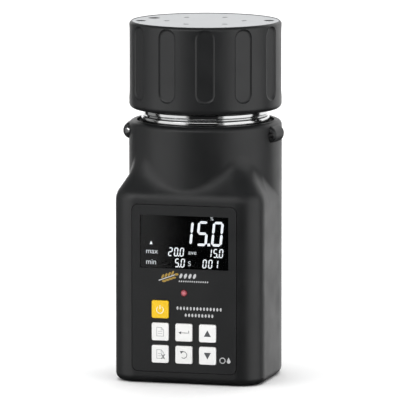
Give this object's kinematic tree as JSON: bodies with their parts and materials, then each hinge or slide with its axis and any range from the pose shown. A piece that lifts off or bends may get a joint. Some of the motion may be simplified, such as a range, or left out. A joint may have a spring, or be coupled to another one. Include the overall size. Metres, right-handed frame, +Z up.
{
  "type": "grain moisture meter",
  "caption": "Handheld grain moisture meter with a measuring cell under a fluted screw cap, a metal threaded neck, a display and keys on the front and a hinged battery door at the back.",
  "frame": {"origin": "on the resting plane, at the axis of the round upper body", "axes": "+Z up along the axis of the cap and the cell, -Y out of the front panel, +X to the right of someone facing the panel"},
  "size_m": [0.0828, 0.0797, 0.1792],
  "materials": {
    "case_plastic": "fine matte moulded ABS, near black",
    "cap_plastic": "fine matte moulded plastic, near black",
    "panel_plastic": "smooth satin overlay, near black",
    "plate_plastic": "satin light grey moulded disc",
    "window_glass": "clear glossy pane",
    "lcd_black": "black reverse display cell",
    "backlight_white": "opal light guide",
    "led_red": "tinted lamp lens",
    "key_white": "satin moulded key",
    "key_yellow": "satin moulded key, amber yellow",
    "board_green": "solder resist on glass laminate",
    "dome_steel": "stamped stainless snap dome",
    "screw_steel": "zinc plated steel",
    "spring_steel": "drawn spring wire",
    "neck_chrome": "turned and bright plated",
    "nut_aluminium": "turned aluminium",
    "cup_steel": "drawn and polished stainless steel",
    "insulator_plastic": "natural acetal",
    "seal_rubber": "soft black rubber",
    "contact_nickel": "nickel plated spring steel",
    "battery_jacket": "printed jacket on a steel can"
  },
  "bodies": {
    "root": {"body_shell": "case_plastic", "base_cover": "case_plastic", "base_screws": "screw_steel", "front_panel": "panel_plastic", "display_window": "window_glass", "lcd_module": "lcd_black", "backlight": "backlight_white", "led_indicator": "led_red", "switch_domes": "dome_steel", "main_board": "board_green", "board_screws": "screw_steel", "neck_collar": "neck_chrome", "collar_nut": "nut_aluminium", "neck_seal": "seal_rubber", "cell_cup": "cup_steel", "cell_insulator": "insulator_plastic", "centre_electrode": "cup_steel", "temperature_probe": "cup_steel", "sensor_board": "board_green", "board_spacers": "insulator_plastic", "battery_bay": "case_plastic", "battery_contacts": "contact_nickel", "hinge_pin": "screw_steel", "battery_1": "battery_jacket", "battery_2": "battery_jacket", "battery_3": "battery_jacket", "battery_4": "battery_jacket"},
    "cap": {"cap_shell": "cap_plastic", "cap_top_plate": "plate_plastic", "well_plugs": "seal_rubber", "cap_screws": "screw_steel", "retainer_ring": "nut_aluminium", "cap_seal": "seal_rubber"},
    "press_unit": {"press_hub": "insulator_plastic", "spring_seat": "screw_steel", "press_spring": "spring_steel"},
    "press_plate": {"press_plate": "nut_aluminium"},
    "battery_door": {"battery_door": "case_plastic"},
    "key_power": {"key_power": "key_yellow"},
    "key_record": {"key_record": "key_white"},
    "key_enter": {"key_enter": "key_white"},
    "key_up": {"key_up": "key_white"},
    "key_delete": {"key_delete": "key_white"},
    "key_return": {"key_return": "key_white"},
    "key_down": {"key_down": "key_white"}
  },
  "joints": [
    {"name": "cap_lift", "type": "slide", "parent": "root", "child": "press_unit", "axis": [0, 0, 1], "range_m": [0, 0.0361]},
    {"name": "cap_turn", "type": "hinge", "parent": "press_unit", "child": "cap", "pos_m": [0, 0, 0.15], "axis": [0, 0, 1], "range_deg": [0, 2160]},
    {"name": "press_plate_travel", "type": "slide", "parent": "press_unit", "child": "press_plate", "axis": [0, 0, 1], "range_m": [0, 0.005], "stiffness_N_per_m": 600, "springref_m": -0.004, "deforming": ["press_spring"]},
    {"name": "battery_door_hinge", "type": "hinge", "parent": "root", "child": "battery_door", "pos_m": [0, 0.0366, 0.0086], "axis": [-1, 0, 0], "range_deg": [0, 85]},
    {"name": "key_power_press", "type": "slide", "parent": "root", "child": "key_power", "axis": [0, 1, 0], "range_m": [0, 0.0005], "stiffness_N_per_m": 1500, "springref_m": -0.0004},
    {"name": "key_record_press", "type": "slide", "parent": "root", "child": "key_record", "axis": [0, 1, 0], "range_m": [0, 0.0005], "stiffness_N_per_m": 1500, "springref_m": -0.0004},
    {"name": "key_enter_press", "type": "slide", "parent": "root", "child": "key_enter", "axis": [0, 1, 0], "range_m": [0, 0.0005], "stiffness_N_per_m": 1500, "springref_m": -0.0004},
    {"name": "key_up_press", "type": "slide", "parent": "root", "child": "key_up", "axis": [0, 1, 0], "range_m": [0, 0.0005], "stiffness_N_per_m": 1500, "springref_m": -0.0004},
    {"name": "key_delete_press", "type": "slide", "parent": "root", "child": "key_delete", "axis": [0, 1, 0], "range_m": [0, 0.0005], "stiffness_N_per_m": 1500, "springref_m": -0.0004},
    {"name": "key_return_press", "type": "slide", "parent": "root", "child": "key_return", "axis": [0, 1, 0], "range_m": [0, 0.0005], "stiffness_N_per_m": 1500, "springref_m": -0.0004},
    {"name": "key_down_press", "type": "slide", "parent": "root", "child": "key_down", "axis": [0, 1, 0], "range_m": [0, 0.0005], "stiffness_N_per_m": 1500, "springref_m": -0.0004}
  ],
  "couplings": [
    {"joint": "cap_lift", "follows": "cap_turn", "m_per_rad": 0.00095493}
  ]
}
